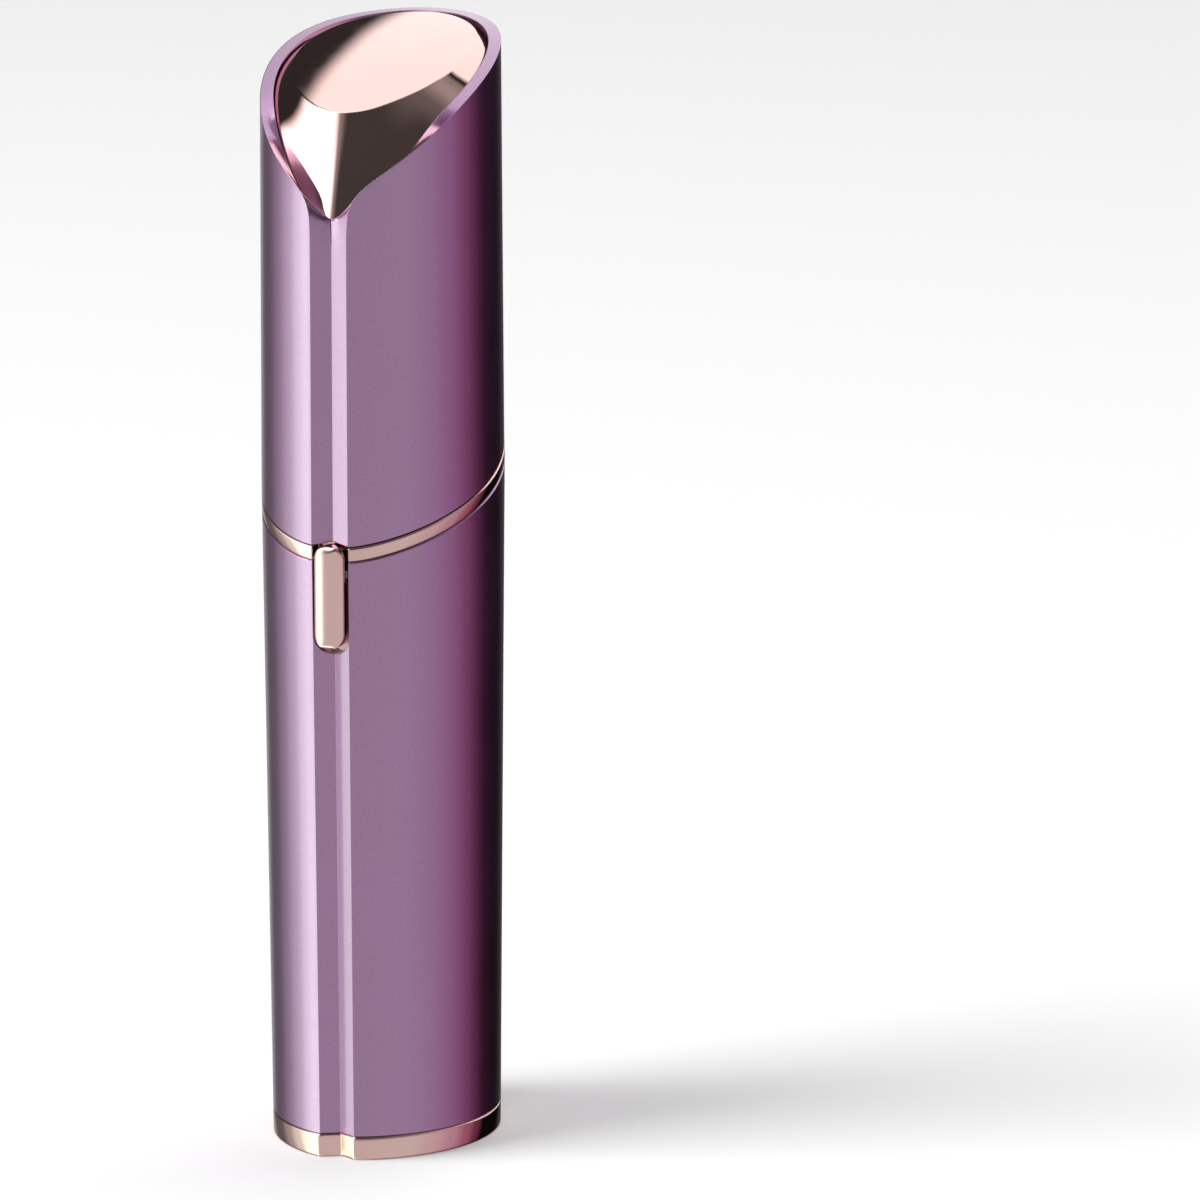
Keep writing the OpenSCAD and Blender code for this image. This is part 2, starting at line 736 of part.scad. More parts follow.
body_shell();
ring_trim();
base_band();
base_plug();
collar();
head_tube();
battery_holder();
battery_cell();
battery_spring();
positive_contact();
return_strip();
motor_leads();
switch_body();
motor_can();
motor_magnets();
motor_endcap();
motor_bush();
motor_mount();
motor_screws();
motor_rotor();
drive_coupler();
cutter_hub();
cutter_blades();
cutter_spring();
head_cover();
foil_disc();
foil_retainer();
slider_button();
slider_carrier();
cap_shell();
cap_liner();
cap_insert();
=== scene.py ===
import json
import math

import bmesh
import bpy
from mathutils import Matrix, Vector


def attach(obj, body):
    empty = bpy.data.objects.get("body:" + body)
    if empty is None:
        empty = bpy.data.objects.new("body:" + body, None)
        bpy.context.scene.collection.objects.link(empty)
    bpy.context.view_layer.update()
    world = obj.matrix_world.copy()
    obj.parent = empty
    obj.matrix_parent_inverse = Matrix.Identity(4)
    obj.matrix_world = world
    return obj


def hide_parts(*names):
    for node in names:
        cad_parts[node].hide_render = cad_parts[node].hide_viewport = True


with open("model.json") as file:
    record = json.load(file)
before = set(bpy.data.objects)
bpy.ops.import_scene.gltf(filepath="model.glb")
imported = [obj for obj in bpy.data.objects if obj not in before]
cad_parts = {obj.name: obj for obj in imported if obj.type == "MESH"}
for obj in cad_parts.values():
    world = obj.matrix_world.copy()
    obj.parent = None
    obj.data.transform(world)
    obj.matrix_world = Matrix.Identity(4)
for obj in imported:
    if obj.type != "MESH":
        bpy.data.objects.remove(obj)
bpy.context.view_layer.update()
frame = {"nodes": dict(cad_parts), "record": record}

# Everything below is in millimetres, in the axes of the CAD, and becomes metres in build().
# Front is -Y, up is +Z.

METRES = 0.001
HALF_W, HALF_D, NOSE = 12.5, 15.4, 8.5
SIDE_R = (HALF_W ** 2 + HALF_D ** 2 - 2 * HALF_D * NOSE) / (2 * (HALF_W - NOSE))
NOSE_Y = HALF_D - NOSE
NOSE_ANGLE = math.atan2(SIDE_R - HALF_W, NOSE_Y)
GROOVE_W, GROOVE_Y = 2.0, -14.1
EDGE_Y = -(NOSE_Y + math.sqrt(NOSE ** 2 - GROOVE_W ** 2))
BASE_SCALE, CAP_SCALE = 0.952, 0.98
JOINT_Z, SLOPE, RING_H, BAND_H, CASE_H = 69.9, 0.39, 1.5, 2.5, 118.3
KEEL_X, KEEL_Y, KEEL_LOW_Y = 2.6, -13.15, -12.2
FACET_Y = -12.9
LIP_INSET, WALL_INSET, WALL_STEP_Z = 0.8, 1.3, 52
SLOT_Z, SLOT_TOP, SLOT_FRONT, SLOT_BACK = 54.1, 90, -18, -11.9
EDGE_SHRINK = 0.992  # size of an outline where its rounded edge ends
GROOVE_STEPS = 8


def body_scale(z):
    return BASE_SCALE + (1 - BASE_SCALE) * z / JOINT_Z


def cap_scale(z):
    return 1 + (CAP_SCALE - 1) * (z - JOINT_Z) / (CASE_H - JOINT_Z)


def outline_point(theta):
    """Point of the almond section whose normal points at theta, measured from the front towards +X."""
    if theta < NOSE_ANGLE:
        return NOSE * math.sin(theta), -NOSE_Y - NOSE * math.cos(theta)
    if theta > math.pi - NOSE_ANGLE:
        return NOSE * math.sin(theta), NOSE_Y - NOSE * math.cos(theta)
    return HALF_W - SIDE_R + SIDE_R * math.sin(theta), -SIDE_R * math.cos(theta)


def almond_x(y, w, d, n):
    """Half width at y of an almond with half width w, half depth d and nose radius n."""
    r = (w * w + d * d - 2 * d * n) / (2 * (w - n))
    tangent = (d - n) * (1 + n / (r - n))
    if abs(y) <= tangent:
        return w - r + math.sqrt(r * r - y * y)
    return math.sqrt(max(0, n * n - (abs(y) - (d - n)) ** 2))


def theta_of(x, y):
    """Direction of the normal at a point on the almond section."""
    if y < 0 and math.atan2(x, -(y + NOSE_Y)) < NOSE_ANGLE:
        return math.atan2(x, -(y + NOSE_Y))
    if y > 0 and math.atan2(x, y - NOSE_Y) < NOSE_ANGLE:
        return math.pi - math.atan2(x, y - NOSE_Y)
    return math.atan2(x - HALF_W + SIDE_R, -y)


def groove_half():
    """Right half of the groove's section, from its bottom to just before its edge."""
    return [(GROOVE_W * k / GROOVE_STEPS, GROOVE_Y + (EDGE_Y - GROOVE_Y) * k / GROOVE_STEPS)
            for k in range(GROOVE_STEPS)]


def wall_thetas(steps=72):
    first = math.asin(GROOVE_W / NOSE)
    return [first + (math.pi - first) * i / steps for i in range(steps + 1)]


def inset_point(theta, inset, keel_y):
    x, y = outline_point(theta)
    x, y = x - inset * math.sin(theta), y + inset * math.cos(theta)
    if keel_y is not None and x < KEEL_X and y < keel_y:
        y = keel_y
    return max(0.0, x), y


def grooved_half(inset=0.0, keel_y=None):
    """Right half of the case section, from front to back. With keel_y it is an inner wall."""
    half = groove_half()
    if keel_y is not None:
        half = [(KEEL_X * 0.6 * k / GROOVE_STEPS, keel_y) for k in range(GROOVE_STEPS)]
    elif inset:
        half = [(x, y + inset) for x, y in half]
    return half + [inset_point(t, inset, keel_y) for t in wall_thetas()]


def whole(half):
    """A closed loop from its right half."""
    return half + [(-p[0],) + tuple(p[1:]) for p in half[-2:0:-1]]


def circle(r, count=160):
    return [(r * math.sin(2 * math.pi * i / count), -r * math.cos(2 * math.pi * i / count))
            for i in range(count)]


def round_loops(profile):
    """Level circles from (radius, height) pairs."""
    return [at_height(circle(r), z) for r, z in profile]


def shrunk(loop, k):
    return [(x * k, y * k) for x, y in loop]


def at_height(loop, z):
    return [(x, y, z) for x, y in loop]


def on_plane(loop, z0, slope=SLOPE):
    """The loop lifted to the slanted plane that crosses the axis at z0."""
    return [(x, y, z0 + slope * y) for x, y in loop]


def tapered_plane(loop, z0, scale):
    """The loop on that plane, sized by the taper at each point's own height."""
    out = []
    for x, y in loop:
        k = scale(z0 + SLOPE * y)
        out.append((x * k, y * k, z0 + SLOPE * y * k))
    return out


def tapered_level(loop, z, scale):
    k = scale(z)
    return [(x * k, y * k, z) for x, y in loop]


def between(a, b, f):
    return [tuple(p + (q - p) * f for p, q in zip(u, v)) for u, v in zip(a, b)]


def steps_between(a, b, count):
    return [between(a, b, i / count) for i in range(1, count)]


def faces_of_loops(loops, close=True):
    """Vertices and quads of consecutive loops of equal length; close joins the last to the first."""
    n = len(loops[0])
    points = [p for loop in loops for p in loop]
    quads = []
    last = len(loops) if close else len(loops) - 1
    for j in range(last):
        a, b = j * n, ((j + 1) % len(loops)) * n
        quads += [(a + i, a + (i + 1) % n, b + (i + 1) % n, b + i) for i in range(n)]
    return points, quads


def build(name, points, faces, sharp=30):
    """A smooth-shaded mesh object with sharp creases, from millimetres."""
    mesh = bpy.data.meshes.new(name)
    mesh.from_pydata([(x * METRES, y * METRES, z * METRES) for x, y, z in points], [], faces)
    obj = bpy.data.objects.new(name, mesh)
    bpy.context.scene.collection.objects.link(obj)
    tidy_mesh(obj, sharp)
    return obj


def tidy_mesh(obj, sharp=30):
    bm = bmesh.new()
    bm.from_mesh(obj.data)
    bmesh.ops.remove_doubles(bm, verts=bm.verts, dist=2e-6)
    bmesh.ops.recalc_face_normals(bm, faces=bm.faces)
    for face in bm.faces:
        face.smooth = True
    for edge in bm.edges:
        edge.smooth = edge.calc_face_angle(0) < math.radians(sharp)
    bm.to_mesh(obj.data)
    bm.free()


def apply_modifiers(obj):
    graph = bpy.context.evaluated_depsgraph_get()
    mesh = bpy.data.meshes.new_from_object(obj.evaluated_get(graph))
    obj.modifiers.clear()
    obj.data = mesh


def cut(obj, cutters, sharp=30):
    for cutter in cutters:
        mod = obj.modifiers.new("cut", "BOOLEAN")
        mod.operation = "DIFFERENCE"
        mod.solver = "EXACT"
        mod.object = cutter
    bpy.context.view_layer.update()
    apply_modifiers(obj)
    for cutter in cutters:
        bpy.data.objects.remove(cutter)
    tidy_mesh(obj, sharp)


def prism(name, outline_xz, y0, y1):
    """Cutter: an outline in X and Z drawn from y0 to y1."""
    loops = [[(x, y, z) for x, z in outline_xz] for y in (y0, y1)]
    points, faces = faces_of_loops(loops, close=False)
    n = len(outline_xz)
    faces += [tuple(range(n - 1, -1, -1)), tuple(range(n, 2 * n))]
    return build(name, points, faces)


def slot_cutter(name):
    """The button's slot, round at its lower end."""
    r, steps = GROOVE_W, 40
    lower = [(r * math.cos(a), SLOT_Z + r + r * math.sin(a))
             for a in [math.pi + math.pi * i / steps for i in range(steps + 1)]]
    return prism(name, lower + [(r, SLOT_TOP), (-r, SLOT_TOP)], SLOT_FRONT, SLOT_BACK)


# ---------- the lilac case ----------

def make_body_shell():
    outer = whole(grooved_half())
    lip = whole(grooved_half(LIP_INSET, KEEL_Y))
    lower = whole(grooved_half(WALL_INSET, KEEL_LOW_Y))
    seam = 0.1
    foot_z, rim_z = BAND_H + 0.04, JOINT_Z - 0.05
    start = tapered_level(outer, BAND_H + seam + 0.04, body_scale)
    end = tapered_plane(outer, rim_z - seam, body_scale)
    loops = [tapered_level(shrunk(outer, EDGE_SHRINK), foot_z, body_scale), start]
    loops += steps_between(start, end, 14) + [end]
    loops += [tapered_plane(shrunk(outer, EDGE_SHRINK), rim_z, body_scale)]
    loops += [tapered_plane(lip, rim_z, body_scale), tapered_level(lip, WALL_STEP_Z, body_scale)]
    loops += [tapered_level(lower, z, body_scale) for z in (WALL_STEP_Z, foot_z)]
    obj = build("case_body", *faces_of_loops(loops))
    cut(obj, [slot_cutter("slot_a")])
    return obj


def make_ring_trim():
    outer = whole(grooved_half())
    lip = whole(grooved_half(LIP_INSET, KEEL_Y))
    low, high, edge = JOINT_Z + 0.05, JOINT_Z + RING_H - 0.03, 0.14
    profile = [(EDGE_SHRINK, low), (0.998, low + edge * 0.3), (1, low + edge),
               (1, high - edge), (0.998, high - edge * 0.3), (EDGE_SHRINK, high)]
    loops = [tapered_plane(shrunk(outer, k), z, body_scale) for k, z in profile]
    loops += [tapered_plane(lip, z, body_scale) for z in (high, low)]
    obj = build("case_ring", *faces_of_loops(loops), sharp=50)
    cut(obj, [slot_cutter("slot_b")], sharp=50)
    return obj


def make_base_band():
    outer = whole(grooved_half())
    inner = whole(grooved_half(1.0, KEEL_LOW_Y))
    edge = 0.25
    profile = [(0.98, 0), (EDGE_SHRINK, edge * 0.25), (0.9985, edge * 0.6), (1, edge),
               (1, BAND_H - 0.12), (0.997, BAND_H - 0.03), (EDGE_SHRINK, BAND_H)]
    loops = [tapered_level(shrunk(outer, k), z, body_scale) for k, z in profile]
    loops += [tapered_level(inner, z, body_scale) for z in (BAND_H, 0)]
    return build("case_base_band", *faces_of_loops(loops), sharp=50)


# ---------- the cap ----------

SCOOP_Y, SCOOP_Z, SCOOP_R = 20.0, 72.6, 46.0
BLEND = 0.7
CAVITY_INSET = 0.92
MOUTH_W, MOUTH_BACK, MOUTH_NOSE, MOUTH_FLOOR = 10.9, 13.8, 1.5, 96.8
APEX_Z, V_SLOPE = 99.5, 1.6


def soft_ramp(t):
    """Zero for negative t and t for positive t, with a smooth bend of width BLEND."""
    return BLEND * math.log(1 + math.exp(min(60, t / BLEND)))


def crease_by_angle(degrees):
    """Outer crease near the groove, by the angle on the scoop's circle."""
    a = math.radians(degrees)
    z = SCOOP_Z + SCOOP_R * math.sin(a)
    k = cap_scale(z)
    y = k * EDGE_Y + soft_ramp(SCOOP_Y - SCOOP_R * math.cos(a) - k * EDGE_Y)
    return k * almond_x(y / k, HALF_W, HALF_D, NOSE), y, z


def crease_by_normal(theta):
    """The same crease further back, by the direction of the case wall."""
    x, y = outline_point(theta)
    z = CASE_H
    for _ in range(12):
        k = cap_scale(z)
        z = SCOOP_Z + math.sqrt(SCOOP_R ** 2 - (k * y - SCOOP_Y) ** 2)
    return k * x, k * y, z


def crease_line():
    front = [crease_by_angle(a) for a in [24] + [33 + 0.75 * i for i in range(25)]]
    k = cap_scale(front[-1][2])
    first = theta_of(front[-1][0] / k, front[-1][1] / k)
    count = 84
    back = [crease_by_normal(first + (math.pi - first) * i / count) for i in range(1, count + 1)]
    back[-1] = (0.0, back[-1][1], back[-1][2])
    return front + back


def mouth_x(y, t=0.0):
    if y < 0:
        return almond_x(y, MOUTH_W - t, -GROOVE_Y - t, MOUTH_NOSE)
    return almond_x(y, MOUTH_W - t, MOUTH_BACK - t, 7.0)


def mouth_z(y):
    a = SCOOP_Z + math.sqrt(SCOOP_R ** 2 - (y - SCOOP_Y) ** 2)
    b = APEX_Z + V_SLOPE * (y - GROOVE_Y)
    return b - soft_ramp(b - a)


def inner_line(crease):
    """Inner edge of the rim band, one point for each point of the crease."""
    length = MOUTH_BACK - GROOVE_Y
    reach = crease[-1][1] - crease[0][1]
    out = []
    for _, y, _ in crease:
        v = GROOVE_Y + (y - crease[0][1]) * length / reach
        out.append((mouth_x(v), v, mouth_z(v)))
    out[0] = (0.0, GROOVE_Y, APEX_Z)
    out[-1] = (0.0,) + out[-1][1:]
    return out


def make_cap_shell():
    crease = crease_line()
    inner = inner_line(crease)
    n = GROOVE_STEPS
    tops = [tuple(a + (b - a) * k / n for a, b in zip(inner[0], crease[0])) for k in range(n)]
    columns = tops + crease

    def level(z0, shrink=1.0):
        """Right half of the outer wall on the slanted plane through z0."""
        out = []
        for x, y, z in columns:
            k = cap_scale(z)
            u, v = x / k * shrink, y / k * shrink
            s = cap_scale(z0 + SLOPE * v)
            out.append((u * s, v * s, z0 + SLOPE * v * s))
        return out

    def cavity(z, plane):
        """Right half of the inner wall at z, level or on the slanted plane."""
        out = [(KEEL_X * 0.6 * k / n, KEEL_Y, z + (SLOPE * KEEL_Y if plane else 0)) for k in range(n)]
        for x, y, top in crease:
            k = cap_scale(top)
            theta = theta_of(x / k, y / k)
            u, v = inset_point(theta, CAVITY_INSET, KEEL_Y)
            out.append((u, v, z + (SLOPE * v if plane else 0)))
        out[-1] = (0.0,) + out[-1][1:]
        return out

    def band(m):
        """Right half of the rim band, from m = 1 by the crease to m = n by the mouth."""
        rows = [tops[min(k, n - m)] if n - m < n else tops[k] for k in range(n)]
        return rows + [tuple(b + (a - b) * m / n for a, b in zip(p, q))
                       for p, q in zip(inner, crease)]

    def mouth(f):
        """Right half of the mouth's wall, a part f of the way down to its floor."""
        wall = [(x, y, z + (MOUTH_FLOOR - z) * f) for x, y, z in inner]
        return [wall[0]] * n + wall

    bottom = JOINT_Z + RING_H + 0.1
    start = level(bottom + 0.1)
    loops = [level(bottom, EDGE_SHRINK), start]
    loops += steps_between(start, columns, 16) + [columns]
    loops += [band(m) for m in range(1, n + 1)]
    loops += [mouth(f) for f in (0.25, 0.5, 0.75, 1)]
    loops += [cavity(MOUTH_FLOOR, False), cavity(bottom, True)]
    return build("cap_body", *faces_of_loops([whole(half) for half in loops]), sharp=24)


INSERT_GAP, INSERT_FOOT, INSERT_WALL = 0.15, 97.0, 1.2
FACE_R, FACE_Y, FACE_Z = 74.0, 24.1, 45.0
CONE_Z, CONE_Y, CONE_SLOPE = 149.4, 2.27, 0.339
CROWN, CROWN_HALF_W = 0.22, 9.4


def face_z(x, y):
    """The gently arched face of the bullet, with a slight crown across it."""
    return FACE_Z + math.sqrt(FACE_R ** 2 - (y - FACE_Y) ** 2) - CROWN * (x / CROWN_HALF_W) ** 2


def cone_point(theta, z):
    """Point at height z on the cone that the chamfer's upper edge follows."""
    x, y = outline_point(theta)
    k = (CONE_Z - z) * CONE_SLOPE / HALF_D
    return x * k, CONE_Y + y * k


def face_edge(theta):
    """Where the cone meets the face."""
    z = 112.0
    for _ in range(30):
        x, y = cone_point(theta, z)
        z = face_z(x, y)
    return x, y, z


def wall_edge(theta):
    """Foot of the chamfer, on the bullet's upright wall just under the rim of the cap."""
    top = face_edge(theta)[2]
    low, high = 70.0, top
    for _ in range(40):
        z = (low + high) / 2
        x, y = cone_point(theta, z)
        front, back = GROOVE_Y + INSERT_GAP, MOUTH_BACK - INSERT_GAP
        inside = front < y < back and x < mouth_x(y, INSERT_GAP)
        low, high = (low, z) if inside else (z, high)
    return x, y, min(mouth_z(y) - 0.4, top - 0.6)


def make_cap_insert():
    count = 110
    thetas = [math.pi * i / count for i in range(count + 1)]
    top = [face_edge(t) for t in thetas]
    low = [wall_edge(t) for t in thetas]
    for line in (top, low):
        line[0] = (0.0,) + line[0][1:]
        line[-1] = (0.0,) + line[-1][1:]
    foot = [(x, y, INSERT_FOOT) for x, y, _ in low]
    chamfer = [between(low, top, f) for f in (0.2, 0.4, 0.6, 0.8)]
    face = []
    for f in (0.97, 0.9, 0.8, 0.65, 0.5, 0.35, 0.2, 0.1, 0.03):
        row = [(x * f, 1.0 + (y - 1.0) * f) for x, y, _ in top]
        face.append([(x, y, face_z(x, y)) for x, y in row])
    loops = [whole(half) for half in [foot, low] + chamfer + [top] + face]
    points, quads = faces_of_loops(loops, close=False)
    n = len(loops[0])
    quads.append(tuple(range(len(points) - n, len(points))))
    obj = build("cap_bullet", points, quads, sharp=12)
    shell = obj.modifiers.new("wall", "SOLIDIFY")
    shell.thickness = INSERT_WALL * METRES
    shell.offset = -1
    apply_modifiers(obj)
    tidy_mesh(obj, 12)
    return obj


# ---------- slider ----------

KNOB_Z, KNOB_HALF, KNOB_R = 60.3, 3.85, 1.65
DOME_Y, DOME_R, DOME_END = 13.55, 2.6, 0.9


def button_front(x, z):
    """Depth of the button's domed front at a place on it, positive to the front."""
    dome = DOME_Y + math.sqrt(DOME_R ** 2 - x * x)
    end = KNOB_HALF + KNOB_R - abs(z - KNOB_Z)
    if end >= DOME_END:
        return dome
    drop = math.sqrt(max(0, DOME_END ** 2 - (DOME_END - max(0, end)) ** 2))
    return min(dome, DOME_Y + DOME_R - DOME_END + drop)


def stadium(r, half_length, count=28):
    """Outline with straight sides and round ends, from its right side anticlockwise."""
    arc = [math.pi * i / count for i in range(count + 1)]
    top = [(r * math.cos(a), half_length + r * math.sin(a)) for a in arc]
    rise = [(-r, half_length - 2 * half_length * i / 10) for i in range(1, 10)]
    bottom = [(-r * math.cos(a), -half_length - r * math.sin(a)) for a in arc]
    fall = [(r, -half_length + 2 * half_length * i / 10) for i in range(1, 10)]
    return top + rise + bottom + fall


def relief_cutter():
    """Clears the button's back above the case, where it slides over the cap's groove."""
    side = 4
    slope = (1.3 - 0.24) / GROOVE_W
    tip = GROOVE_Y - 0.22
    outline = [(0, tip), (side, tip - side * slope), (side, -8), (-side, -8), (-side, tip - side * slope)]
    loops = [[(x, y, z) for x, y in outline] for z in (62, 80)]
    points, faces = faces_of_loops(loops, close=False)
    return build("relief", points, faces + [(4, 3, 2, 1, 0), (5, 6, 7, 8, 9)])


def make_slider_button():
    back, edge_y, edge_sink, edge_w = 13.28, 14.6, 0.12, 0.12
    loops = [[(x, -y, KNOB_Z + z) for x, z in stadium(KNOB_R, KNOB_HALF)] for y in (back, edge_y)]
    for inset in (0.0, 0.04, 0.1, 0.2, 0.35, 0.55, 0.8, 1.05, 1.3, 1.5, 1.6):
        sink = edge_sink * max(0, 1 - inset / edge_w) ** 2
        loops.append([(x, -button_front(x, KNOB_Z + z) + sink, KNOB_Z + z)
                      for x, z in stadium(KNOB_R - inset, KNOB_HALF)])
    points, quads = faces_of_loops(loops, close=False)
    n = len(loops[0])
    quads += [tuple(range(n - 1, -1, -1)), tuple(range(len(points) - n, len(points)))]
    obj = build("slider_knob", points, quads, sharp=40)
    cut(obj, [relief_cutter()], 40)
    return obj


# ---------- collar and head ----------

COLLAR_TOP, COLLAR_FOOT, COLLAR_EDGE, COLLAR_INSET, COLLAR_BORE = 77.4, 53, 0.45, 1.65, 10
HEAD_R, SEAM_Z, SHOULDER_Z = 10.6, 93.9, 100.4
FOIL_R, FOIL_Z, FOIL_EDGE = 8.5, 103.0, 0.35
TWIST, TWIST_OUTER, TWIST_INNER = 0.16, 6.7, 3.3


def box_cutter(name, x0, x1, y0, y1, z0, z1):
    return prism(name, [(x0, z0), (x1, z0), (x1, z1), (x0, z1)], y0, y1)


def make_collar():
    count = 120
    half = []
    for i in range(count + 1):
        theta = math.pi * i / count
        x, y = outline_point(theta)
        x, y = x - COLLAR_INSET * math.sin(theta), y + COLLAR_INSET * math.cos(theta)
        half.append((max(0.0, x), max(y, FACET_Y)))
    outer = whole(half)

    def pulled_in(t):
        """The outline smaller by about t all round."""
        near_half_w, near_half_d = 11, 13
        return [(x * (1 - t / near_half_w), y * (1 - t / near_half_d)) for x, y in outer]

    def rounded_top(a):
        inset, drop = COLLAR_EDGE * (1 - math.cos(a)), COLLAR_EDGE * (1 - math.sin(a))
        return on_plane(pulled_in(inset), COLLAR_TOP - drop)

    bore = [(COLLAR_BORE * x / math.hypot(x, y), COLLAR_BORE * y / math.hypot(x, y)) for x, y in outer]
    start, end = at_height(outer, COLLAR_FOOT + 0.2), on_plane(outer, COLLAR_TOP - COLLAR_EDGE)
    loops = [at_height(pulled_in(0.2), COLLAR_FOOT), start] + steps_between(start, end, 6) + [end]
    loops += [rounded_top(a) for a in (0.4, 0.8, 1.2, math.pi / 2)]
    loops += [on_plane(bore, COLLAR_TOP), at_height(bore, COLLAR_FOOT)]
    obj = build("chassis_collar", *faces_of_loops(loops), sharp=35)
    mark = [box_cutter("mark_a", -12, -10.1, -3.4, -1.4, 72, 72.35),
            box_cutter("mark_b", -12, -10.1, -3.4, -3.05, 72, 73.6)]
    switch = [box_cutter("pocket", -3.3, 3.3, -11.9, 0, 50, 66.6),
              box_cutter("window", -1.1, 1.1, -14, 0, 58, 64.9)]
    cut(obj, mark + switch, 35)
    return obj


def make_head_tube():
    spigot_r, bore_r, web_r, motor_r, skirt_r = 9.55, 8.6, 8.3, 9, 9.95
    spigot_top, web_top, web_foot, skirt_foot = SEAM_Z + 3, 87.4, 85.6, 66.8
    rings = round_loops([
        (HEAD_R, SEAM_Z - 0.15), (HEAD_R - 0.05, SEAM_Z - 0.04), (HEAD_R - 0.16, SEAM_Z),
        (spigot_r, SEAM_Z), (spigot_r, spigot_top), (bore_r, spigot_top), (bore_r, web_top),
        (web_r, web_top), (web_r, web_foot), (motor_r, web_foot), (motor_r, skirt_foot),
        (skirt_r, skirt_foot)])
    start = on_plane(circle(HEAD_R), COLLAR_TOP + 0.03)
    loops = [start] + steps_between(start, rings[0], 5) + rings
    loops.append(on_plane(circle(skirt_r), COLLAR_TOP + 0.03))
    return build("head_tube_body", *faces_of_loops(loops), sharp=50)


def make_head_cover():
    edge, steps = 0.7, 8
    lip_r, inner_r, ledge_z, foot_z = 8.57, 9.65, 98.75, SEAM_Z + 0.08
    profile = [(HEAD_R - 0.16, foot_z), (HEAD_R - 0.05, SEAM_Z + 0.12), (HEAD_R, SEAM_Z + 0.24),
               (HEAD_R, 97), (HEAD_R, SHOULDER_Z - edge)]
    for i in range(1, steps + 1):
        a = math.pi / 2 * i / steps
        profile.append((HEAD_R - edge + edge * math.cos(a), SHOULDER_Z - edge + edge * math.sin(a)))
    profile += [(8.75, SHOULDER_Z), (8.62, SHOULDER_Z - 0.05), (lip_r, SHOULDER_Z - 0.2),
                (lip_r, ledge_z), (inner_r, ledge_z), (inner_r, foot_z)]
    return build("head_shoulder", *faces_of_loops(round_loops(profile)), sharp=50)


def foil_rows():
    """(radius, height, kind) from the foil's skirt to its middle.

    The kind names the slots in the band that ends at the row.
    """
    rows = [(9.3, 98.4, ""), (FOIL_R, 98.6, ""), (FOIL_R, 102.1, ""), (FOIL_R, 102.6, "rim")]
    steps = 4
    for i in range(1, steps + 1):
        a = math.pi / 2 * i / steps
        rows.append((FOIL_R - FOIL_EDGE + FOIL_EDGE * math.cos(a),
                     FOIL_Z - FOIL_EDGE + FOIL_EDGE * math.sin(a), "rim"))
    flat = [(7.6, "rim"), (7.0, "rim"), (6.7, ""), (6.4, ""), (5.9, "ring"), (5.3, "ring"), (5.0, ""),
            (4.75, ""), (4.35, "ring"), (3.85, "ring"), (3.5, ""), (3.25, "")]
    rows += [(r, FOIL_Z, kind) for r, kind in flat]
    rows += [(3.1, 102.86, ""), (2.1, 102.86, "")]
    rows += [(r, FOIL_Z, "") for r in (1.95, 1.2, 0.4)]
    return rows


def make_foil():
    pitch, count, rim_slot, ring_slot, sheet = 8, 60, 2, 4, 0.28
    columns = pitch * count
    rows = foil_rows()
    loops = []
    for r, z, _ in rows:
        skew = TWIST * max(0.0, TWIST_OUTER - max(r, TWIST_INNER))
        angles = [2 * math.pi * i / columns + skew for i in range(columns)]
        loops.append([(r * math.sin(a), -r * math.cos(a), z) for a in angles])
    points, quads = faces_of_loops(loops, close=False)
    kept = []
    for index, face in enumerate(quads):
        row, column = divmod(index, columns)
        kind = rows[row + 1][2]
        rim_gap = kind == "rim" and column % pitch < rim_slot
        ring_gap = kind == "ring" and column % (pitch + 2) < ring_slot
        if not (rim_gap or ring_gap):
            kept.append(face)
    kept.append(tuple(range(len(points) - columns, len(points))))
    obj = build("head_foil", points, kept, sharp=40)
    mod = obj.modifiers.new("sheet", "SOLIDIFY")
    mod.thickness = sheet * METRES
    mod.offset = -1
    apply_modifiers(obj)
    tidy_mesh(obj, 40)
    return obj


# ---------- materials ----------

def shader(name, **values):
    """A Principled material with its fixed values set on its own sockets."""
    mat = bpy.data.materials.new(name)
    mat.use_nodes = True
    node = mat.node_tree.nodes["Principled BSDF"]
    for key, value in values.items():
        node.inputs[key.replace("_", " ")].default_value = value
    return mat, node


def place(mat):
    return mat.node_tree.nodes.new("ShaderNodeTexCoord").outputs["Object"]


def noise(mat, scale, detail=4.0, stretch=(1, 1, 1)):
    nodes, links = mat.node_tree.nodes, mat.node_tree.links
    mapping = nodes.new("ShaderNodeMapping")
    mapping.inputs["Scale"].default_value = stretch
    texture = nodes.new("ShaderNodeTexNoise")
    texture.inputs["Scale"].default_value = scale
    texture.inputs["Detail"].default_value = detail
    links.new(place(mat), mapping.inputs["Vector"])
    links.new(mapping.outputs["Vector"], texture.inputs["Vector"])
    return texture.outputs["Fac"]


def spread(mat, source, low, high):
    """The noise value turned into a range."""
    node = mat.node_tree.nodes.new("ShaderNodeMapRange")
    node.inputs["From Min"].default_value = 0.3
    node.inputs["From Max"].default_value = 0.7
    node.inputs["To Min"].default_value = low
    node.inputs["To Max"].default_value = high
    mat.node_tree.links.new(source, node.inputs["Value"])
    return node.outputs["Result"]


def tint(mat, source, first, second):
    node = mat.node_tree.nodes.new("ShaderNodeMix")
    node.data_type = "RGBA"
    node.inputs["A"].default_value = first + (1,)
    node.inputs["B"].default_value = second + (1,)
    mat.node_tree.links.new(source, node.inputs["Factor"])
    return node.outputs["Result"]


def rounded_edges(mat, radius):
    """Normals of slightly rounded edges, so that seams and creases catch the light."""
    node = mat.node_tree.nodes.new("ShaderNodeBevel")
    node.samples = 6
    node.inputs["Radius"].default_value = radius
    return node.outputs["Normal"]


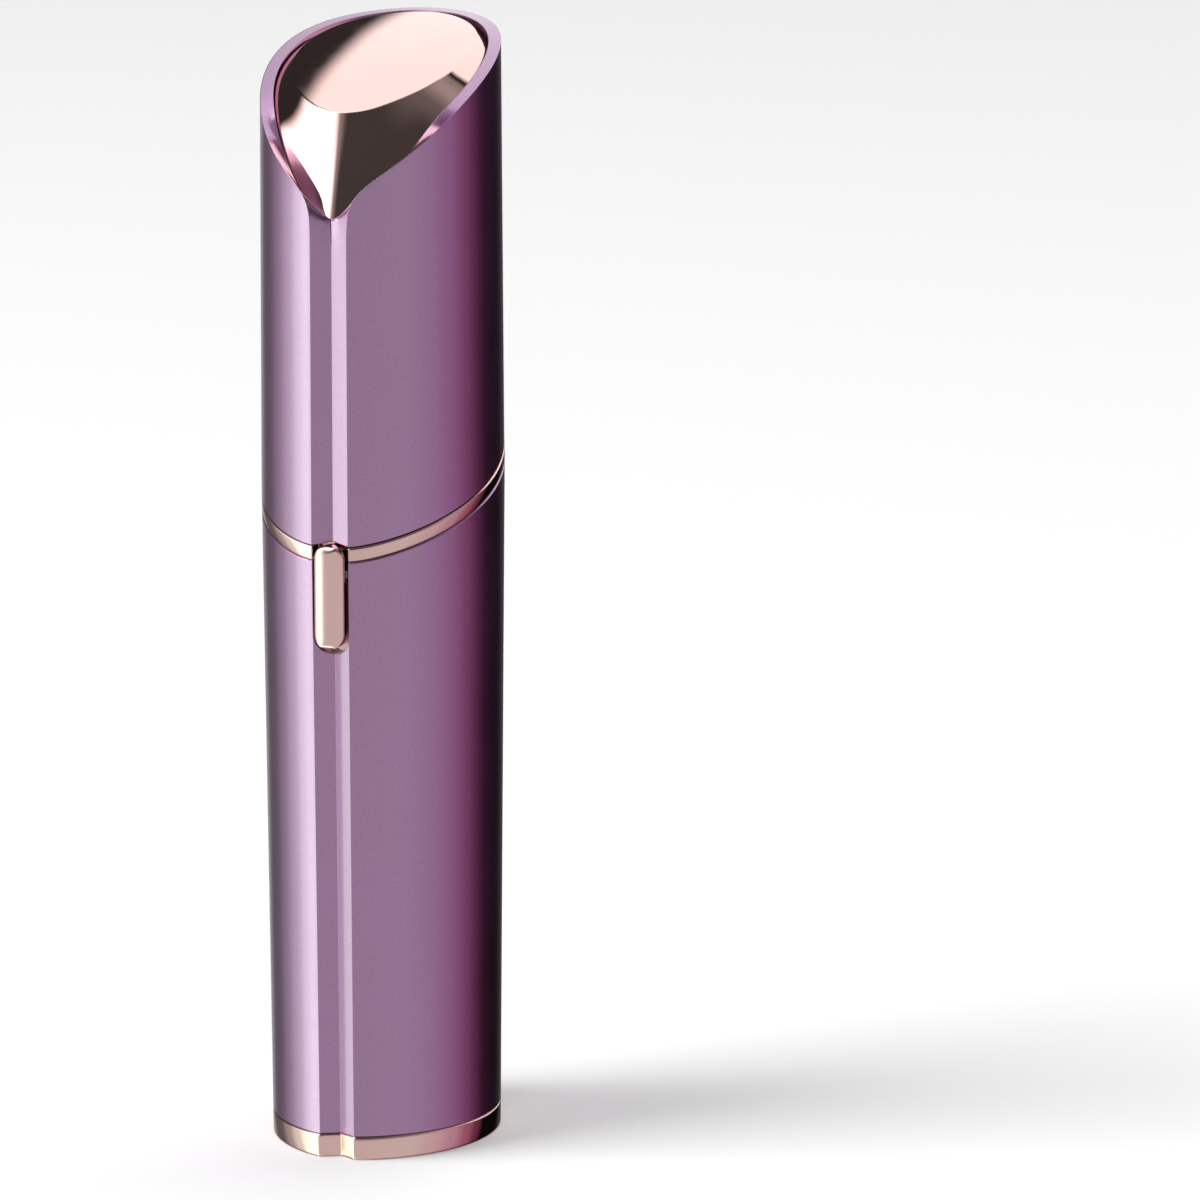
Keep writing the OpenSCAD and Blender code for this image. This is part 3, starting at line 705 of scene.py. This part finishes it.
def bump(mat, height, distance, strength, normal=None):
    node = mat.node_tree.nodes.new("ShaderNodeBump")
    node.inputs["Distance"].default_value = distance
    node.inputs["Strength"].default_value = strength
    mat.node_tree.links.new(height, node.inputs["Height"])
    if normal is not None:
        mat.node_tree.links.new(normal, node.inputs["Normal"])
    return node.outputs["Normal"]


def lilac_lacquer():
    """Pearl base with fine flakes under a hard clear coat."""
    mat, node = shader("lilac_lacquer", Metallic=1.0, Coat_Weight=1.0, Coat_IOR=2.1, Coat_Roughness=0.1)
    link = mat.node_tree.links.new
    flakes = spread(mat, noise(mat, 5200, 1.0), 0.0, 1.0)
    link(tint(mat, flakes, (0.39, 0.17, 0.38), (0.43, 0.195, 0.42)), node.inputs["Base Color"])
    link(spread(mat, noise(mat, 90, 3.0), 0.30, 0.34), node.inputs["Roughness"])
    edges = rounded_edges(mat, 0.00012)
    link(bump(mat, noise(mat, 5200, 1.0), 0.00001, 0.04, edges), node.inputs["Normal"])
    link(edges, node.inputs["Coat Normal"])
    return mat


def rose_gold():
    """Bright copper-pink plating."""
    mat, node = shader("rose_gold", Metallic=1.0)
    link = mat.node_tree.links.new
    film = spread(mat, noise(mat, 60, 3.0), 0.0, 1.0)
    link(tint(mat, film, (0.83, 0.555, 0.515), (0.86, 0.585, 0.545)), node.inputs["Base Color"])
    link(spread(mat, noise(mat, 400, 5.0), 0.02, 0.05), node.inputs["Roughness"])
    link(rounded_edges(mat, 0.00025), node.inputs["Normal"])
    return mat


def plastic(name, dark, light, rough=0.42):
    mat, node = shader(name, IOR=1.5)
    link = mat.node_tree.links.new
    link(tint(mat, spread(mat, noise(mat, 300, 4.0), 0, 1), dark, light), node.inputs["Base Color"])
    link(spread(mat, noise(mat, 900, 4.0), rough, rough + 0.12), node.inputs["Roughness"])
    edges = rounded_edges(mat, 0.00015)
    link(bump(mat, noise(mat, 2600, 3.0), 0.00003, 0.25, edges), node.inputs["Normal"])
    return mat


def metal(name, dark, light, rough, stretch=(1, 1, 1)):
    mat, node = shader(name, Metallic=1.0)
    link = mat.node_tree.links.new
    link(tint(mat, spread(mat, noise(mat, 240, 4.0), 0, 1), dark, light), node.inputs["Base Color"])
    link(spread(mat, noise(mat, 700, 5.0, stretch), rough, rough + 0.15), node.inputs["Roughness"])
    edges = rounded_edges(mat, 0.0001)
    link(bump(mat, noise(mat, 1500, 3.0, stretch), 0.00002, 0.2, edges), node.inputs["Normal"])
    return mat


def cell_jacket():
    """Printed film on the cell: dark below and copper-coloured above, without lettering."""
    mat, node = shader("cell_jacket", Coat_Weight=0.6, Coat_Roughness=0.1)
    nodes, link = mat.node_tree.nodes, mat.node_tree.links.new
    split = nodes.new("ShaderNodeSeparateXYZ")
    link(place(mat), split.inputs["Vector"])
    edge = nodes.new("ShaderNodeMapRange")
    edge.inputs["From Min"].default_value = 0.0435
    edge.inputs["From Max"].default_value = 0.0440
    link(split.outputs["Z"], edge.inputs["Value"])
    film = tint(mat, edge.outputs["Result"], (0.03, 0.04, 0.06), (0.55, 0.28, 0.12))
    link(film, node.inputs["Base Color"])
    link(spread(mat, noise(mat, 500, 3.0), 0.3, 0.42), node.inputs["Roughness"])
    return mat


def copper_winding():
    mat, node = shader("copper_winding", Metallic=1.0)
    nodes, link = mat.node_tree.nodes, mat.node_tree.links.new
    wave = nodes.new("ShaderNodeTexWave")
    wave.bands_direction = "Z"
    wave.inputs["Scale"].default_value = 900
    wave.inputs["Distortion"].default_value = 1.5
    link(place(mat), wave.inputs["Vector"])
    wire = tint(mat, wave.outputs["Fac"], (0.33, 0.13, 0.06), (0.62, 0.3, 0.14))
    link(wire, node.inputs["Base Color"])
    link(spread(mat, noise(mat, 500, 3.0), 0.25, 0.4), node.inputs["Roughness"])
    link(bump(mat, wave.outputs["Fac"], 0.00008, 0.6), node.inputs["Normal"])
    return mat


def dress(obj, mat):
    obj.data.materials.clear()
    obj.data.materials.append(mat)


def make_materials():
    return {
        "lilac_shell": lilac_lacquer(),
        "rose_gold": rose_gold(),
        "white_abs": plastic("white_abs", (0.72, 0.71, 0.68), (0.8, 0.79, 0.76)),
        "black_abs": plastic("black_abs", (0.012, 0.012, 0.014), (0.022, 0.022, 0.024)),
        "spring_steel": metal("spring_steel", (0.5, 0.5, 0.52), (0.62, 0.62, 0.64), 0.18, (1, 1, 6)),
        "motor_steel": metal("motor_steel", (0.48, 0.48, 0.5), (0.58, 0.58, 0.6), 0.25, (1, 1, 8)),
        "magnet": metal("magnet", (0.05, 0.05, 0.055), (0.09, 0.09, 0.095), 0.5),
        "brass": metal("brass", (0.7, 0.52, 0.22), (0.78, 0.6, 0.3), 0.2, (6, 1, 1)),
        "copper_winding": copper_winding(),
        "battery_jacket": cell_jacket(),
        "wire_red": plastic("wire_red", (0.45, 0.02, 0.015), (0.55, 0.035, 0.025), 0.35),
    }


# ---------- stage ----------

def make_floor():
    size = 6.0
    mesh = bpy.data.meshes.new("floor")
    corners = [(-size, -size, 0), (size, -size, 0), (size, size, 0), (-size, size, 0)]
    mesh.from_pydata(corners, [], [(0, 1, 2, 3)])
    floor = bpy.data.objects.new("floor", mesh)
    bpy.context.scene.collection.objects.link(floor)
    floor.visible_glossy = False
    mat, _ = shader("floor_paper", Roughness=0.9, Base_Color=(0.93, 0.93, 0.93, 1),
                    Specular_IOR_Level=0.0)
    mesh.materials.append(mat)


CAMERA_TURN = math.radians(21.6)


def ramp(nodes, stops):
    """A ramp over the direction round the object, from -180 to 180 degrees from the camera's side."""
    node = nodes.new("ShaderNodeValToRGB")
    node.color_ramp.interpolation = "EASE"
    elements = node.color_ramp.elements
    while len(elements) > 1:
        elements.remove(elements[-1])
    for i, (angle, level) in enumerate(stops):
        position = (angle + 180) / 360
        element = elements[0] if i == 0 else elements.new(position)
        element.position = position
        red, green, blue = level if isinstance(level, tuple) else (level,) * 3
        element.color = (red, green, blue, 1)
    return node


def feed(links, sockets, values):
    """Links outputs to sockets and sets plain numbers on them."""
    for socket, value in zip(sockets, values):
        if isinstance(value, bpy.types.NodeSocket):
            links.new(value, socket)
        else:
            socket.default_value = value


def calculate(tree, operation, *values):
    node = tree.nodes.new("ShaderNodeMath")
    node.operation = operation
    feed(tree.links, node.inputs, values)
    return node.outputs[0]


def mapped(tree, source, start, end, low=0.0, high=1.0, smooth=True):
    node = tree.nodes.new("ShaderNodeMapRange")
    node.interpolation_type = "SMOOTHSTEP" if smooth else "LINEAR"
    names = ("Value", "From Min", "From Max", "To Min", "To Max")
    feed(tree.links, [node.inputs[n] for n in names], (source, start, end, low, high))
    return node.outputs["Result"]


def blended(tree, factor, first, second):
    node = tree.nodes.new("ShaderNodeMix")
    node.data_type = "RGBA"
    feed(tree.links, [node.inputs[n] for n in ("Factor", "A", "B")], (factor, first, second))
    return node.outputs["Result"]


def parts_of(tree, vector):
    node = tree.nodes.new("ShaderNodeSeparateXYZ")
    tree.links.new(vector, node.inputs["Vector"])
    return node.outputs["X"], node.outputs["Y"], node.outputs["Z"]


def side_light(tree, part):
    """The surround at the height of the object and the one above it, by direction."""
    low = ramp(tree.nodes, [
        (-180, 0.5), (-165, 0.4), (-150, 0.12), (-138, 0.14), (-124, 0.4), (-110, (0.84, 0.94, 0.85)),
        (-98, (1.5, 1.85, 1.55)), (-76, (2.1, 2.7, 2.15)), (-64, (0.95, 1.1, 0.96)), (-52, 0.65),
        (-20, 0.62), (45, 0.64), (62, (0.6, 0.52, 0.58)), (82, (0.5, 0.33, 0.45)),
        (98, (0.34, 0.13, 0.21)), (110, (0.14, 0.04, 0.08)), (120, 0.004), (146, 0.004),
        (158, 0.04), (172, 0.12), (180, 0.5)])
    high = ramp(tree.nodes, [
        (-180, 0.6), (-160, 0.25), (-140, 0.2), (-125, 0.3), (-115, 2.2), (-85, 3.0), (-60, 2.0),
        (-45, 0.3), (-30, 0.06), (15, 0.06), (45, 0.15), (75, 0.4), (88, 0.3), (96, 0.02),
        (115, 0.03), (122, 0.9), (140, 0.7), (150, 0.03), (180, 0.3)])
    for node in (low, high):
        tree.links.new(part, node.inputs["Fac"])
    return low.outputs["Color"], high.outputs["Color"]


def make_world():
    """Soft studio surround: a tall soft light at the left, an even front, a dark side at the right."""
    world = bpy.data.worlds.new("studio")
    world.use_nodes = True
    bpy.context.scene.world = world
    tree = world.node_tree
    tree.nodes.clear()
    coord = tree.nodes.new("ShaderNodeTexCoord")
    turn = tree.nodes.new("ShaderNodeVectorRotate")
    turn.rotation_type = "Z_AXIS"
    turn.inputs["Angle"].default_value = -CAMERA_TURN
    tree.links.new(coord.outputs["Generated"], turn.inputs["Vector"])
    right, ahead, up = parts_of(tree, turn.outputs["Vector"])
    angle = calculate(tree, "ARCTAN2", right, calculate(tree, "MULTIPLY", ahead, -1))
    low, high = side_light(tree, mapped(tree, angle, -math.pi, math.pi, smooth=False))
    around = blended(tree, mapped(tree, up, 0.02, 0.2), low, high)
    # above and behind the object, a soft light with a dark panel beside it
    plain_x, _, plain_z = parts_of(tree, coord.outputs["Generated"])
    lean = calculate(tree, "MULTIPLY_ADD", plain_z, 0.064, plain_x)
    panel = mapped(tree, lean, -0.353, -0.337, 0.03, 1.35)
    behind = calculate(tree, "MULTIPLY", ahead, calculate(tree, "MAXIMUM", up, 0))
    final = blended(tree, mapped(tree, behind, 0.05, 0.12), around, panel)
    shine = tree.nodes.new("ShaderNodeBackground")
    tree.links.new(final, shine.inputs["Color"])
    out = tree.nodes.new("ShaderNodeOutputWorld")
    tree.links.new(shine.outputs["Background"], out.inputs["Surface"])


def area_light(name, place_at, aim, size, power):
    data = bpy.data.lights.new(name, "AREA")
    data.shape = "RECTANGLE"
    data.size, data.size_y = size
    data.energy = power
    light = bpy.data.objects.new(name, data)
    light.location = place_at
    light.rotation_mode = "QUATERNION"
    light.rotation_quaternion = (Vector(aim) - Vector(place_at)).to_track_quat("-Z", "Y")
    light.visible_glossy = False
    bpy.context.scene.collection.objects.link(light)


def make_camera():
    data = bpy.data.cameras.new("camera")
    data.sensor_width = 36
    data.lens = 197.04
    data.clip_end = 30
    cam = bpy.data.objects.new("camera", data)
    distance, height = 0.6807, 0.1895
    cam.location = (distance * math.sin(CAMERA_TURN), -distance * math.cos(CAMERA_TURN), height)
    down, yaw = math.radians(11.004), math.radians(1.917) - CAMERA_TURN
    ahead = Vector((math.sin(yaw) * math.cos(down), math.cos(yaw) * math.cos(down), -math.sin(down)))
    cam.rotation_mode = "QUATERNION"
    cam.rotation_quaternion = ahead.to_track_quat("-Z", "Y")
    bpy.context.scene.collection.objects.link(cam)
    bpy.context.scene.camera = cam


# ---------- assembly ----------

NEW_PIECES = [
    (make_body_shell, "shell", ["body_shell"], "lilac_shell"),
    (make_ring_trim, "shell", ["ring_trim"], "rose_gold"),
    (make_base_band, "shell", ["base_band"], "rose_gold"),
    (make_cap_shell, "cap", ["cap_shell"], "lilac_shell"),
    (make_cap_insert, "cap", ["cap_insert"], "rose_gold"),
    (make_slider_button, "slider", ["slider_button"], "rose_gold"),
    (make_collar, "chassis", ["collar"], "rose_gold"),
    (make_head_tube, "chassis", ["head_tube"], "rose_gold"),
    (make_head_cover, "head", ["head_cover"], "rose_gold"),
    (make_foil, "head", ["foil_disc"], "rose_gold"),
]


def assemble(materials):
    replaced = set()
    for make, body, nodes, slot in NEW_PIECES:
        obj = make()
        dress(obj, materials[slot])
        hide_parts(*nodes)
        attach(obj, body)
        replaced.update(nodes)
    for row in frame["record"]["subparts"]:
        if row["node"] not in replaced:
            dress(frame["nodes"][row["node"]], materials[row["material_slot"]])


assemble(make_materials())
make_floor()
make_world()
area_light("key", (-0.9, -0.7, 1.3), (0, 0, 0.05), (0.7, 0.7), 9)
area_light("fill", (0.6, -1.2, 1.2), (0, 0, 0.05), (1.2, 1.2), 9)
make_camera()
bpy.context.scene.view_settings.view_transform = "Standard"
